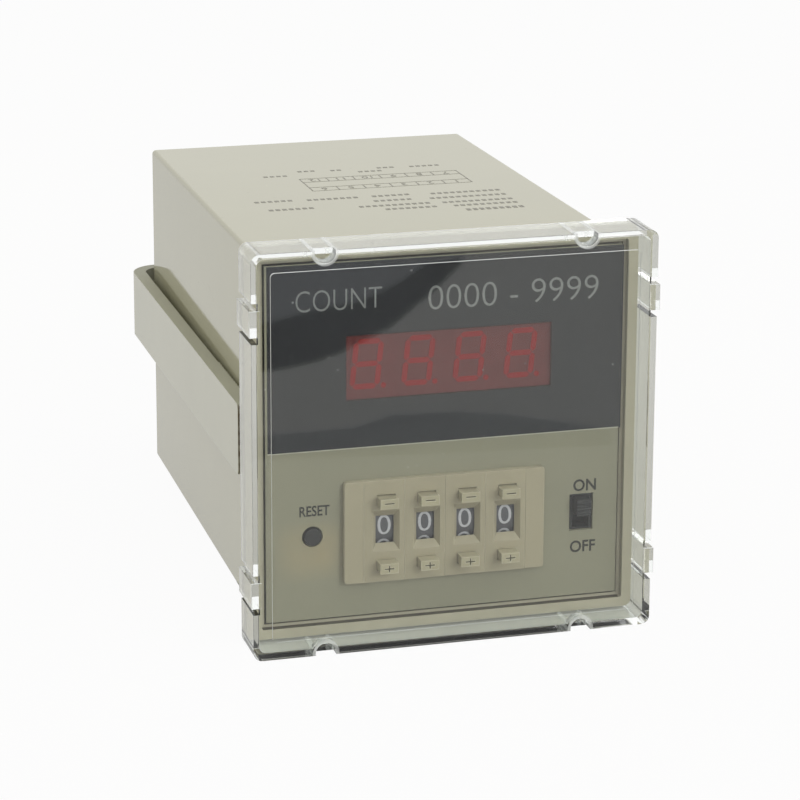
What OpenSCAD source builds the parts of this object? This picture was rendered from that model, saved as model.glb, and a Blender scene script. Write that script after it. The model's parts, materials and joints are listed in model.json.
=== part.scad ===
// Preset counter for a square panel cut-out: case, front frame, display, push-wheel bank, cover and clamp.
// X runs to the right, Y from the front to the back and Z up. The panel's front face lies at Y = 0.

/* [Case] */
// outside width and height of the case where it enters the panel
case_w = 67.6; // [60:0.1:90]
// depth of the case behind the panel
case_d = 98; // [94:1:140]
// how far each side draws in between the panel and the back
case_draft = 0.8; // [0:0.1:1.5]
// wall of the case at the back
case_wall = 2; // [1.5:0.1:3]
// corner radius of the case
case_r = 0.8; // [0.4:0.1:3]
// how far the flange reaches past the case on each side
flange_lip = 2.2; // [1.5:0.1:5]
// thickness of the flange
flange_t = 1; // [0.8:0.1:1.4]

/* [Front frame] */
// how far the frame's rim stands in front of the panel
rim_y = 3.4; // [3:0.1:6]
// depth of the recess that holds the face
recess = 0.9; // [0.5:0.1:1.2]
// width of the rim round the recess
rim_w = 1.85; // [1.4:0.05:4]
// strip of the recess's floor left bare round the face
film_edge = 0.95; // [0.4:0.05:2]
// thickness of the film that covers the face
film_t = 0.3; // [0.2:0.05:0.6]
// thickness of the plate behind the film
plate_t = 2; // [1.2:0.1:3]
// height at which the dark window ends and the light face begins
split_z = -1.5; // [-3:0.1:3]

/* [Display] */
// width of the display block
led_w = 38.3; // [30:0.1:46]
// height of the display block
led_h = 11.9; // [10.6:0.1:16]
// middle of the display to the right of the panel's middle
led_x = 0.85; // [-3:0.05:3]
// distance of the display's middle below the top of the face
led_top = 19.7; // [14:0.1:22]
// height of a digit
digit_h = 9.3; // [6:0.1:9.4]
// width of a digit
digit_w = 5.6; // [3:0.1:6]
// how far the digits stand above the middle of the block
digit_up = 0.5; // [0:0.05:0.6]
// width of one lit segment
segment_w = 1; // [0.6:0.05:1.3]
// lean of the digits
digit_lean = 6; // [0:1:12]

/* [Push-wheel bank] */
// distance between neighbouring wheels
wheel_pitch = 7.62; // [7:0.01:10]
// outside diameter of a digit wheel
wheel_d = 14.6; // [13.6:0.1:15.6]
// width of a digit wheel's printed rim
wheel_w = 3.6; // [3.4:0.05:4]
// diameter of the shaft that carries the wheels
shaft_d = 3; // [2:0.1:3.6]
// middle of the bank to the right of the panel's middle
bank_x = -0.1; // [-3:0.1:2]
// middle of the bank above the bottom of the face
bank_up = 16.1; // [14:0.1:18]
// how far the bank stands in front of the face
bank_proud = 1.2; // [0.8:0.1:1.8]
// width of each end plate
end_w = 3.6; // [2.6:0.1:5]
// wall above and below the wheel in a housing
housing_wall = 0.7; // [0.5:0.05:1]
// lip of the bank that rests on the face
bank_lip = 0.6; // [0.4:0.05:1]
// width of the opening that shows one digit
sight_w = 3.4; // [2.6:0.05:3.4]
// height of the opening that shows one digit
sight_h = 5.2; // [4:0.1:6]
// width of a minus or plus button
button_w = 3.4; // [2.6:0.05:3.6]
// height of a minus or plus button
button_h = 1.95; // [1.4:0.05:2.1]
// travel of a minus or plus button
button_travel = 1.4; // [0.8:0.1:1.5]
// how far a pressed button still stands in front of the bank
button_rest = 1; // [0.6:0.1:1.8]
// height of a minus button above the wheel's middle
minus_dz = 5.85; // [5.7:0.05:6.5]
// depth of a plus button below the wheel's middle
plus_dz = 6.5; // [5.7:0.05:6.5]

/* [Reset button and slide switch] */
// diameter of the reset button
reset_d = 3.3; // [3:0.1:3.8]
// place of the reset button between the bank, 0, and the frame's inside, 1
reset_at = 0.533; // [0.5:0.001:0.56]
// height of the reset button above the bank's middle
reset_dz = -0.35; // [-3:0.05:3]
// travel of the reset button
reset_travel = 0.5; // [0.2:0.05:0.8]
// how far the pressed reset button still stands in front of the face
reset_rest = 0.1; // [0.1:0.1:0.8]
// distance of the slide switch's middle from the frame's inside
slide_edge = 3.25; // [3:0.05:3.6]
// height of the slide switch above the bank's middle
slide_dz = -0.05; // [-1:0.05:1]
// width of the slide switch's slot
slot_w = 4.5; // [3.6:0.1:4.8]
// width of the slide knob
knob_w = 2.9; // [2:0.1:3.2]
// height of the slide knob
knob_h = 3.1; // [2:0.1:3.5]
// how far the slide knob stands in front of the face
knob_proud = 2; // [1:0.1:3]
// travel of the slide knob
knob_travel = 2.7; // [1.5:0.1:3]

/* [Cover] */
// wall of the clear cover
cover_wall = 1.15; // [0.9:0.05:1.6]
// thickness of the cover's front
cover_t = 1.2; // [0.9:0.05:2]
// corner radius of the cover
cover_r = 1.6; // [1.4:0.1:4]
// how far the cover's middle stands proud of its border
plateau_t = 0.4; // [0.2:0.05:0.8]
// clear space between the frame's rim and the cover's front
cover_room = 6; // [4:0.1:9]
// width of the cover's border round the raised middle
border_w = 3.4; // [2.6:0.1:5]
// place of the rounded notches beside the cover's middle
notch_x = 24; // [18:0.5:28]
// radius of a rounded notch
notch_r = 1.9; // [1.5:0.05:2.4]
// depth of a rounded notch
notch_deep = 2.2; // [1:0.1:4]
// place of the side clips above and below the cover's middle
clip_z = 24.9; // [18:0.1:27]
// width of a side clip
clip_w = 4.75; // [3.5:0.05:6]
// slot on each side of a clip
clip_slot = 1.3; // [0.8:0.05:2]

/* [Clamp] */
// height of the clamp's band
clamp_h = 13.4; // [8:0.1:20]
// thickness of the clamp's band
clamp_t = 2.6; // [2:0.1:4]
// gap between the clamp's arms and the case at the panel
clamp_gap = 0.5; // [0.45:0.05:1.5]
// distance from the flange to the clamp's front ends
clamp_front = 2.4; // [2.1:0.1:6]
// clear space between the case's back and the clamp
clamp_back = 5.4; // [4.5:0.1:10]
// outer radius of the clamp's back corners
clamp_r = 6; // [4.5:0.1:10]

/* [Terminals] */
// distance of the outer terminals' compartments from the case's inside
term_edge = 2.5; // [2:0.1:5]
// distance of each terminal row's middle from the case's inside
term_row = 10.5; // [9.5:0.1:12]
// depth of the terminal block
block_t = 14; // [12:0.5:20]
// depth of a terminal's compartment
pocket_d = 9; // [7:0.1:10]
// thread diameter of the terminal screws
term_screw_d = 3; // [2.5:0.1:3.5]

/* [Boards] */
// thickness of the circuit boards
board_t = 1.6; // [1:0.1:2]
// front face of the display board behind the panel
board_y = 5.5; // [5.1:0.1:8]
// width of the transformer's core
core_w = 34; // [26:0.5:40]
// height of the transformer's core
core_h = 28; // [22:0.5:34]
// stack thickness of the transformer's core
core_t = 16; // [10:0.5:20]

/* [Hidden] */
$fn = 48;
// overlap that keeps cuts and joined bodies clean
cut = 0.1;
// clearance of a piece that is put into its place and stays
seat_gap = 0.1;
// clearance round a piece that slides
slide_gap = 0.08;
// radial clearance of a shaft or screw in its hole
run_gap = 0.05;
// clearance of the cover over the frame
cover_gap = 0.15;

// case and flange
flange_w = case_w + 2 * flange_lip;
flange_r = case_r + flange_lip / 4;
cav_w = case_w - 2 * case_draft - 2 * case_wall;
cav_r = 1;
block_y = case_d - block_t;

// frame and face
recess_w = flange_w - 2 * rim_w;
recess_r = 0.4;
groove_w = 0.25;
groove_deep = 0.4;
face_w = recess_w - 2 * film_edge;
y_rim = -rim_y;
y_face = y_rim + recess;
y_plate = y_face + film_t;
y_plate_back = y_plate + plate_t;
spigot_w = cav_w - 2 * cover_gap;
spigot_t = 1.3;
spigot_in = spigot_w - 2 * spigot_t;
spigot_reach = 1.4;
spigot_y = board_y + board_t + spigot_reach;

// display and its board
board_margin = 0.5;
board_w = spigot_in - 2 * board_margin;
post_d = 5;
post_edge = 0.8;
post_at = board_w / 2 - post_d / 2 - post_edge;
post_screw_d = 2.2;
post_screw_len = 3.6;
post_head_t = 1.3;
post_head_d = 4;
led_z = face_w / 2 - led_top;
led_y = y_plate + seat_gap;
digit_t = 0.1;
digit_pitch = led_w / 4;
digit_shift = -0.095 * digit_pitch;
segment_gap = 0.12 * segment_w;
point_dx = 0.3 * segment_w;

// push-wheel bank
wheel_gap = 1;
wheel_set = 0.2;
housing_gap = 0.02;
housing_w = wheel_pitch - 2 * housing_gap;
housing_tail = 5;
side_wall = 0.8;
cell_w = housing_w - 2 * side_wall;
cell_h = wheel_d + 2 * wheel_gap;
body_h = cell_h + 2 * housing_wall;
bank_h = body_h + 2 * bank_lip;
bank_w = 4 * wheel_pitch + 2 * end_w;
bank_z = -face_w / 2 + bank_up;
bank_left = bank_x - bank_w / 2;
bank_right = bank_x + bank_w / 2;
y_bank = y_face - bank_proud;
axis_y = y_face + wheel_set + wheel_d / 2;
housing_back = axis_y + wheel_d / 2 + housing_tail;
end_r = 0.6;
bank_clip = 0.6;
bank_clip_len = 2;
sight_dx = 0.35;
sight_land = 0.15;
funnel_x = 0.83;
funnel_z = 1.3;
y_sight = y_face - sight_land;
drum_x = sight_dx - wheel_w / 2;
drum_rim = 1.5;
hub_wall = 1.2;
hub_d = shaft_d + 2 * hub_wall;
ratchet_gap = 0.3;
ratchet_deep = 0.9;
ratchet_lead = 4;
finger_h = 0.6;
finger_dz = min(minus_dz, plus_dz);
ratchet_d = 2 * (finger_dz - finger_h / 2 - ratchet_gap);
ratchet_side = 0.2;
ratchet_t = cell_w / 2 - (drum_x + wheel_w) - ratchet_side;
finger_gap = 0.1;
finger_x = wheel_w / 2 + finger_gap;
finger_t = ratchet_t - 2 * finger_gap;
finger_root = 0.5;
finger_len = 3.6;
coding_t = 0.8;
coding_x = -cell_w / 2 + run_gap;
coding_front = 3;
coding_tail = 4;
tie_d = 2;
tie_gap = 1;
tie_y = axis_y + wheel_d / 2 + tie_d / 2 + tie_gap;
tie_dz = cell_h / 2 - tie_d / 2 - housing_wall;
button_proud = button_travel + button_rest;
y_button = y_bank - button_proud;
stem_reach = 0.2;
y_stem = y_face + stem_reach;
stop_t = 0.6;
stop_h = 0.65;
mark_len = 1.85;
mark_up = 1.3;
mark_w = 0.28;
mark_deep = 0.15;
dish_d = 12;
dish_deep = 0.3;
dish_back = 0.4;
dish_y = (y_button + y_bank) / 2 + dish_back;

// reset button and slide switch
reset_proud = reset_travel + reset_rest;
reset_gap = 0.25;
reset_x = bank_left - reset_at * (spigot_in / 2 + bank_left);
reset_z = bank_z + reset_dz;
reset_hole_d = reset_d + 2 * reset_gap;
reset_lip = 0.5;
reset_stop_d = reset_hole_d + 2 * reset_lip;
reset_stop_t = 0.6;
reset_stem_d = 0.7 * reset_d;
tact_edge = 0.2;
tact_w = reset_stop_d + 2 * tact_edge;
tact_t = 3.4;
tact_grip = 1.2;
y_tact = board_y - tact_t;
slide_x = spigot_in / 2 - slide_edge;
slide_z = bank_z + slide_dz;
slot_end = 0.6;
slot_drop = 0.35;
slot_h = knob_h + knob_travel + 2 * slot_end;
knob_z = slide_z + knob_travel / 2;
knob_rib = knob_h / 11;
rib_deep = 0.3;
slider_lip = 0.6;
slider_w = knob_w + 2 * slider_lip;
slider_h = knob_h + 2 * slider_lip;
slider_t = 1;
switch_wall = 0.8;
switch_lid = 0.6;
switch_w = slider_w + 2 * switch_wall;
switch_h = slider_h + knob_travel + 2 * switch_wall;
y_switch = y_plate_back + seat_gap;
y_slider = y_switch + switch_lid;

// cover
cover_air = 0.5;
cover_in_w = flange_w + 2 * cover_gap;
cover_w = cover_in_w + 2 * cover_wall;
front_reach = -y_face + max(bank_proud + button_proud, knob_proud, reset_proud);
cover_in = max(rim_y + cover_room, front_reach + cover_air);
y_cover_in = -cover_in;
y_cover = y_cover_in - cover_t;
y_cover_back = -flange_t;
liner_t = 0.4;
notch_drop = 0.35;
notch_z = cover_w / 2 - notch_drop;
clip_proud = 0.4;
clip_step = 0.3;
clip_reach = 1.2;

// clamp
arm_in = case_w / 2 + clamp_gap;
arm_out = arm_in + clamp_t;
clamp_y = case_d + clamp_back + clamp_t;
clamp_edge_r = 1.2;
tooth = 0.3;
tooth_pitch = 1.6;
tooth_n = 16;
tooth_start = 2;
tooth_y = clamp_front + tooth_start;
catch_y = tooth_y + 2 * tooth_pitch;
catch_h = 0.25;
catch_len = 1;

// terminals
term_pitch = (cav_w - 2 * term_edge) / 6;
term_z = cav_w / 2 - term_row;
term_wall = 1.3;
pocket_w = term_pitch - term_wall;
pocket_h = 14;
pocket_y = case_d - pocket_d;
plate_gap = 0.4;
plate_end = 1;
plate_w = pocket_w - 2 * plate_gap;
plate_h = pocket_h - 2 * plate_end;
contact_t = 1;
washer_t = 0.8;
washer_in = 0.3;
washer_w = plate_w - 2 * washer_in;
head_t = 2.2;
head_lip = 1.3;
head_d = term_screw_d + 2 * head_lip;
head_y = pocket_y + contact_t + washer_t;
term_screw_len = 4;
screw_tip_gap = 0.4;
cross_deep = 1;
tab_w = 2.4;
tab_t = 0.8;
tab_len = 3;
tab_in = 1;
tab_dz = plate_h / 2 - tab_in;
fix_edge = 4;
fix_x = cav_w / 2 - fix_edge;
fix_d = 3;
fix_head_d = 5.6;
fix_head_t = 2.2;
fix_sink = 3;
fix_len = 8;
boss_w = 8;
boss_h = 9;
boss_end = 2;

// boards and what stands on them
deck_gap = 0.2;
deck_end = 1;
deck_y0 = spigot_y + deck_end;
deck_y1 = block_y - tab_len - deck_end;
deck_w = cav_w - 2 * deck_gap;
logic_drop = 6;
logic_z = cav_w / 2 - logic_drop;
power_rise = 1.8;
power_z = -cav_w / 2 + power_rise;
rail = 1.2;
power_top = power_z + board_t;
coil_out = 6;
core_back = 14;
core_y = deck_y1 - core_t / 2 - core_back;
core_z = power_top + core_h / 2;
leg_w = core_w / 5;
yoke_w = 0.7 * leg_w;
coil_h = core_h - 2 * yoke_w - 2 * seat_gap;
coil_r = 3;
coil_w = 3 * leg_w - 2 * seat_gap;
core_front = core_y - core_t / 2;
relay_size = [15.5, 19, 15.2];
relay_side = 0.4;
relay_gap = 1;
relay_x = -coil_w / 2 - relay_side - relay_size[0];
relay_y = core_front - relay_size[1] - relay_gap;
big_cap = [10, 16];
big_cap_x = 18;
big_cap_y = core_front - big_cap[0];
small_cap = [8, 12];
small_cap_x = 5;
small_cap_y = core_front - 2 * small_cap[0];
chip_size = [6.4, 19.2, 3.6];
chip_x = [-18, 4];
chip_start = 26;
chip_step = 22;
chip_y = deck_y0 + chip_start;
header_w = 25.4;
header_h = 5;
header_reach = 6;
link_d = 1;
link_n = 6;
link_pitch = 2.54;
link_back = 3;
link_y = deck_y1 - link_back;

// box given by its two corners
module slab(x0, x1, y0, y1, z0, z1) {
  translate([x0, y0, z0])
    cube([x1 - x0, y1 - y0, z1 - z0]);
}

// rectangle with round corners
module rounded(w, h, r) {
  square([w - 2 * r, h], center = true);
  square([w, h - 2 * r], center = true);
  for (sx = [-1, 1], sz = [-1, 1])
    translate([sx * (w / 2 - r), sz * (h / 2 - r)])
      circle(r);
}

// profile drawn in X and Z, drawn out along Y
module along_y(y0, y1) {
  translate([0, y1, 0])
    rotate([90, 0, 0])
      linear_extrude(y1 - y0)
        children();
}

// profile drawn in Y and Z, drawn out along X
module along_x(x0, x1) {
  translate([x0, 0, 0])
    rotate([90, 0, 90])
      linear_extrude(x1 - x0)
        children();
}

// round rod along Y
module rod_y(d, y0, y1) {
  translate([0, y0, 0])
    rotate([-90, 0, 0])
      cylinder(d = d, h = y1 - y0);
}

// round rod along X
module rod_x(d, x0, x1) {
  translate([x0, 0, 0])
    rotate([0, 90, 0])
      cylinder(d = d, h = x1 - x0);
}

// children at the four corners of a square
module corners(at) {
  for (sx = [-1, 1], sz = [-1, 1])
    translate([sx * at, 0, sz * at])
      children();
}

// middle of wheel i, counted from the left
function wheel_x(i) = bank_x + (i - 1.5) * wheel_pitch;

// children at every terminal, in two rows
module terminals() {
  for (row = [-1, 1], i = [0:5])
    translate([(i - 2.5) * term_pitch, 0, row * term_z])
      facing(row)
        children();
}

// children as drawn for side 1, turned upside down for side -1
module facing(side) {
  if (side > 0)
    children();
  else
    mirror([0, 0, 1])
      children();
}

// closed case with its flange, board rails and screw bosses
module case_shell() {
  color("#c9c6b8") {
    difference() {
      union() {
        hull() {
          along_y(-cut, 0)
            rounded(case_w, case_w, case_r);
          along_y(case_d - cut, case_d)
            rounded(case_w - 2 * case_draft, case_w - 2 * case_draft, case_r);
        }
        along_y(-flange_t, 0)
          rounded(flange_w, flange_w, flange_r);
        for (s = [0, 1])
          mirror([s, 0, 0])
            clamp_catch();
      }
      along_y(-flange_t - cut, case_d + cut)
        rounded(cav_w, cav_w, cav_r);
    }
    for (s = [0, 1])
      mirror([s, 0, 0]) {
        board_rails(logic_z);
        board_rails(power_z);
        difference() {
          slab(cav_w / 2 - boss_w, cav_w / 2 + cut, block_y - fix_len - boss_end, block_y,
            -boss_h / 2, boss_h / 2);
          translate([fix_x, 0, 0])
            rod_y(fix_d + 2 * run_gap, block_y - fix_len, block_y + cut);
        }
      }
  }
}

// small ramp on the case's side that the clamp's teeth ride over
module clamp_catch() {
  translate([0, 0, -clamp_h / 4])
    linear_extrude(clamp_h / 2)
      polygon([
        [case_w / 2 - case_draft, catch_y],
        [case_w / 2 - case_draft * catch_y / case_d + catch_h, catch_y + catch_len],
        [case_w / 2 - case_draft, catch_y + catch_len]
      ]);
}

// pair of ribs that holds a board's edge
module board_rails(z) {
  for (z0 = [z - rail - seat_gap, z + board_t + seat_gap])
    slab(cav_w / 2 - rail, cav_w / 2 + cut, deck_y0, deck_y1, z0, z0 + rail);
}

// frame that carries the face in a shallow recess with a groove round it, with a spigot and four posts
module front_frame() {
  color("#c4c1b0")
    difference() {
      union() {
        along_y(y_rim, -flange_t)
          rounded(flange_w, flange_w, flange_r);
        along_y(-flange_t - cut, spigot_y)
          rounded(spigot_w, spigot_w, cav_r);
      }
      along_y(y_rim - cut, y_plate)
        rounded(recess_w, recess_w, recess_r);
      along_y(y_plate - cut, y_plate + groove_deep)
        difference() {
          square(face_w + 2 * groove_w, center = true);
          square(face_w, center = true);
        }
      frame_hollow();
      translate([led_x, 0, led_z])
        along_y(y_rim, board_y)
          square([led_w + 2 * seat_gap, led_h + 2 * seat_gap], center = true);
      translate([bank_x, 0, bank_z])
        along_y(y_rim, board_y)
          square([bank_w - 2 * bank_lip + 2 * seat_gap, body_h + 2 * seat_gap], center = true);
      translate([reset_x, 0, reset_z])
        rod_y(reset_hole_d, y_rim, board_y);
      translate([slide_x, 0, slide_z])
        along_y(y_rim, board_y)
          square([slot_w, slot_h], center = true);
    }
}

// space behind the face plate, leaving the posts for the display board
module frame_hollow() {
  difference() {
    along_y(y_plate_back, spigot_y + cut)
      rounded(spigot_in, spigot_in, cav_r / 2);
    corners(post_at)
      difference() {
        rod_y(post_d, y_plate_back - cut, board_y);
        rod_y(post_screw_d + 2 * run_gap, board_y - post_screw_len - screw_tip_gap, board_y + cut);
      }
  }
}

// light film on the lower face
module face_overlay() {
  color("#b9b5a2")
    difference() {
      slab(-face_w / 2, face_w / 2, y_face, y_plate, -face_w / 2, split_z);
      translate([bank_x, 0, bank_z])
        along_y(y_face - cut, y_plate + cut)
          square([bank_w - 2 * bank_lip + 2 * seat_gap, body_h + 2 * seat_gap], center = true);
      translate([reset_x, 0, reset_z])
        rod_y(reset_hole_d, y_face - cut, y_plate + cut);
      translate([slide_x, 0, slide_z])
        along_y(y_face - cut, y_plate + cut)
          square([slot_w, slot_h], center = true);
    }
}

// dark film on the upper face, which the display shows through
module dark_window() {
  color("#2b2b2d")
    slab(-face_w / 2, face_w / 2, y_face, y_plate, split_z, face_w / 2);
}

// clear cover pushed over the frame: rounded finger notches above and below, and spring clips at the sides
module clear_cover() {
  color("#dfe6e6", 0.4)
    difference() {
      union() {
        difference() {
          union() {
            along_y(y_cover, y_cover_back)
              rounded(cover_w, cover_w, cover_r);
            along_y(y_cover - plateau_t, y_cover + cut)
              rounded(cover_w - 2 * border_w, cover_w - 2 * border_w, cover_r / 2);
          }
          along_y(y_cover_in, y_cover_back + cut)
            rounded(cover_in_w, cover_in_w, flange_r);
        }
        intersection() {
          for (sx = [-1, 1], sz = [-1, 1])
            translate([sx * notch_x, 0, sz * notch_z])
              rod_y(2 * (notch_r + liner_t), y_cover, y_cover + notch_deep + liner_t);
          along_y(y_cover, y_cover_back)
            square(cover_in_w + cover_wall, center = true);
        }
        for (sx = [0, 1], sz = [-1, 1])
          mirror([sx, 0, 0])
            translate([0, 0, sz * clip_z])
              side_clip();
      }
      for (sx = [-1, 1], sz = [-1, 1])
        translate([sx * notch_x, 0, sz * notch_z])
          rod_y(2 * notch_r, y_cover - 2 * plateau_t, y_cover + notch_deep);
      for (sx = [0, 1], sz = [-1, 1])
        mirror([sx, 0, 0])
          translate([0, 0, sz * clip_z])
            clip_slots();
    }
}

// raised tongue of a side clip, running over the edge of the cover's front
module side_clip() {
  slab(cover_w / 2 - clip_reach - clip_step, cover_w / 2 + clip_proud, y_cover - clip_step, y_cover_in,
    -clip_w / 2, clip_w / 2);
  slab(cover_in_w / 2, cover_w / 2 + clip_proud, y_cover - clip_step, y_cover_back, -clip_w / 2, clip_w / 2);
}

// slots that free a side clip
module clip_slots() {
  for (s = [-1, 1])
    translate([0, 0, s * (clip_w + clip_slot) / 2])
      slab(cover_w / 2 - clip_reach, cover_w, y_cover - 2 * clip_step, y_cover_back + cut,
        -clip_slot / 2, clip_slot / 2);
}

// band that runs round the back of the case, with ratchet teeth inside its arms
module mounting_clamp() {
  color("#c0bcab")
    intersection() {
      translate([0, 0, -clamp_h / 2]) {
        linear_extrude(clamp_h)
          difference() {
            clamp_bow(arm_out, clamp_y, clamp_r);
            clamp_bow(arm_in, clamp_y - clamp_t, clamp_r - clamp_t);
          }
        for (s = [0, 1])
          mirror([s, 0, 0])
            clamp_teeth();
      }
      along_x(-arm_out - 1, arm_out + 1)
        translate([clamp_front + clamp_y / 2, 0])
          rounded(clamp_y, clamp_h, clamp_edge_r);
    }
}

// row of saw teeth inside one arm of the clamp
module clamp_teeth() {
  linear_extrude(clamp_h)
    polygon(concat(
      [[arm_in + cut, tooth_y]],
      [for (i = [0:tooth_n - 1]) each [
        [arm_in, tooth_y + i * tooth_pitch],
        [arm_in - tooth, tooth_y + (i + 1) * tooth_pitch]
      ]],
      [[arm_in + cut, tooth_y + tooth_n * tooth_pitch]]
    ));
}

// rectangle open towards the front with two round back corners
module clamp_bow(half, back, r) {
  translate([-half, 0])
    square([2 * half, back - r]);
  translate([-half + r, 0])
    square([2 * (half - r), back]);
  for (s = [-1, 1])
    translate([s * (half - r), back - r])
      circle(r);
}

// moulded display block
module display_block() {
  color("#5a1a1c")
    translate([led_x, 0, led_z])
      slab(-led_w / 2, led_w / 2, led_y + digit_t, board_y, -led_h / 2, led_h / 2);
}

// four digits of seven segments and a point each
module display_digits() {
  color("#8a3a3a")
    for (i = [0:3])
      translate([led_x + (i - 1.5) * digit_pitch + digit_shift, 0, led_z + digit_up])
        along_y(led_y, led_y + digit_t) {
          multmatrix([[1, tan(digit_lean), 0, 0], [0, 1, 0, 0], [0, 0, 1, 0], [0, 0, 0, 1]])
            seven_segments();
          translate([digit_w / 2 + point_dx, -digit_h / 2 + segment_w / 2])
            circle(segment_w / 2);
        }
}

// upright seven-segment figure
module seven_segments() {
  half_w = (digit_w - segment_w) / 2;
  half_h = (digit_h - segment_w) / 2;
  for (k = [-1, 0, 1])
    translate([0, k * half_h])
      segment(2 * half_w);
  for (sx = [-1, 1], sz = [-1, 1])
    translate([sx * half_w, sz * half_h / 2])
      rotate(90)
        segment(half_h);
}

// one segment with pointed ends
module segment(run) {
  tip = run / 2 - segment_gap;
  flat = tip - segment_w / 2;
  polygon([
    [-tip, 0], [-flat, segment_w / 2], [flat, segment_w / 2],
    [tip, 0], [flat, -segment_w / 2], [-flat, -segment_w / 2]
  ]);
}

// board behind the face, cut out for the push-wheel bank
module display_board() {
  color("#3f6b3a")
    difference() {
      along_y(board_y, board_y + board_t)
        square(board_w, center = true);
      translate([bank_x, 0, bank_z])
        along_y(board_y - cut, board_y + board_t + cut)
          square([bank_w + 2 * board_margin, body_h + 2 * board_margin], center = true);
      corners(post_at)
        rod_y(post_screw_d + 2 * run_gap, board_y - cut, board_y + board_t + cut);
    }
}

// screws that hold the display board on the posts
module board_screws() {
  color("#9a9a98")
    corners(post_at) {
      rod_y(post_screw_d, board_y - post_screw_len, board_y + board_t + cut);
      difference() {
        rod_y(post_head_d, board_y + board_t, board_y + board_t + post_head_t);
        cross_recess(board_y + board_t + post_head_t, post_head_d, post_head_t / 2);
      }
    }
}

// cross cut into a screw head that faces the back
module cross_recess(y, d, deep) {
  for (a = [0, 90])
    rotate([0, a, 0])
      slab(-d / 3, d / 3, y - deep, y + cut, -d / 15, d / 15);
}

// end plate of the bank, on the left or the right
module end_plate(x0, x1, side) {
  outer = side < 0 ? x0 : x1;
  inner = side < 0 ? x1 : x0;
  body0 = side < 0 ? x0 + bank_lip : x0;
  body1 = side < 0 ? x1 : x1 - bank_lip;
  color("#bdb6a0")
    difference() {
      union() {
        intersection() {
          slab(x0, x1, y_bank - cut, y_face + cut, bank_z - bank_h, bank_z + bank_h);
          translate([inner, 0, bank_z])
            along_y(y_bank, y_face)
              rounded(2 * (x1 - x0), bank_h, end_r);
        }
        slab(body0, body1, y_face - cut, housing_back, bank_z - body_h / 2, bank_z + body_h / 2);
        translate([outer, 0, bank_z])
          bank_catch(side);
      }
      bank_holes(x0 - cut, x1 + cut);
    }
}

// wedge that grips behind the face plate
module bank_catch(side) {
  root = -side * (bank_lip + cut);
  tip = side * (bank_clip - bank_lip);
  translate([0, 0, -body_h / 4])
    linear_extrude(body_h / 2)
      polygon([
        [root, y_plate_back + seat_gap],
        [tip, y_plate_back + seat_gap],
        [root, y_plate_back + seat_gap + bank_clip_len]
      ]);
}

// holes for the wheel shaft and the tie rods
module bank_holes(x0, x1) {
  translate([0, axis_y, bank_z])
    rod_x(shaft_d + run_gap, x0, x1);
  for (s = [-1, 1])
    translate([0, tie_y, bank_z + s * tie_dz])
      rod_x(tie_d + 2 * run_gap, x0, x1);
}

// housing of one wheel: a lip on the face, a funnel round the digit and two button holes
module wheel_housing(i) {
  color("#c2bba4")
    translate([wheel_x(i), 0, bank_z])
      difference() {
        union() {
          slab(-housing_w / 2, housing_w / 2, y_bank, y_face, -bank_h / 2, bank_h / 2);
          slab(-housing_w / 2, housing_w / 2, y_face - cut, housing_back, -body_h / 2, body_h / 2);
        }
        slab(-cell_w / 2, cell_w / 2, y_face, housing_back + cut, -cell_h / 2, cell_h / 2);
        translate([sight_dx, 0, 0])
          sight_funnel();
        button_hole(minus_dz);
        button_hole(-plus_dz);
        translate([0, 0, -bank_z])
          bank_holes(-wheel_pitch, wheel_pitch);
      }
}

// opening that narrows from the bank's front to the wheel
module sight_funnel() {
  intersection() {
    translate([0, 0, -bank_h / 2])
      linear_extrude(bank_h)
        funnel_side(sight_w, funnel_x);
    along_x(-wheel_pitch, wheel_pitch)
      mirror([1, 0])
        rotate(90)
          funnel_side(sight_h, funnel_z);
  }
  along_y(y_sight - cut, y_face + cut)
    square([sight_w, sight_h], center = true);
}

// one pair of the funnel's sloping sides, drawn with the depth upwards
module funnel_side(far, flare) {
  polygon([
    [-far / 2 - flare, y_bank - cut], [far / 2 + flare, y_bank - cut], [far / 2 + flare, y_bank],
    [far / 2, y_sight], [-far / 2, y_sight], [-far / 2 - flare, y_bank]
  ]);
}

// hole in the housing's front for a button
module button_hole(z) {
  translate([sight_dx, 0, z])
    along_y(y_bank - cut, y_face + cut)
      square([button_w + 2 * slide_gap, button_h + 2 * slide_gap], center = true);
}

// drum with a ten-tooth ratchet and a hub that runs on the shaft
module digit_wheel(i) {
  color("#55565a")
    translate([wheel_x(i), axis_y, bank_z])
      difference() {
        union() {
          difference() {
            rod_x(wheel_d, drum_x, drum_x + wheel_w);
            rod_x(wheel_d - 2 * drum_rim, drum_x - cut, drum_x + wheel_w / 2);
          }
          rod_x(hub_d, drum_x, drum_x + wheel_w + ratchet_t);
          along_x(drum_x + wheel_w - cut, drum_x + wheel_w + ratchet_t)
            polygon([for (k = [0:9]) each [
              ratchet_d / 2 * [cos(36 * k), sin(36 * k)],
              (ratchet_d / 2 - ratchet_deep) * [cos(36 * k + ratchet_lead), sin(36 * k + ratchet_lead)]
            ]]);
        }
        rod_x(shaft_d + 2 * run_gap, drum_x - cut, drum_x + wheel_w + ratchet_t + cut);
      }
}

// button with an engraved mark, a stop inside the housing and a finger beside the ratchet
module push_button(i, dz, up, plus) {
  color("#c8c1aa")
    translate([wheel_x(i) + sight_dx, 0, bank_z + dz])
      facing(up) {
        difference() {
          union() {
            slab(-button_w / 2, button_w / 2, y_button, y_stem, -button_h / 2, button_h / 2);
            slab(-button_w / 2, button_w / 2, y_face + slide_gap, y_face + slide_gap + stop_t,
              button_h / 2 - cut, button_h / 2 + stop_h);
            button_finger(finger_dz - abs(dz));
          }
          button_mark(mark_len, mark_w);
          if (plus)
            button_mark(mark_w, mark_up);
          button_dish();
        }
      }
}

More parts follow.
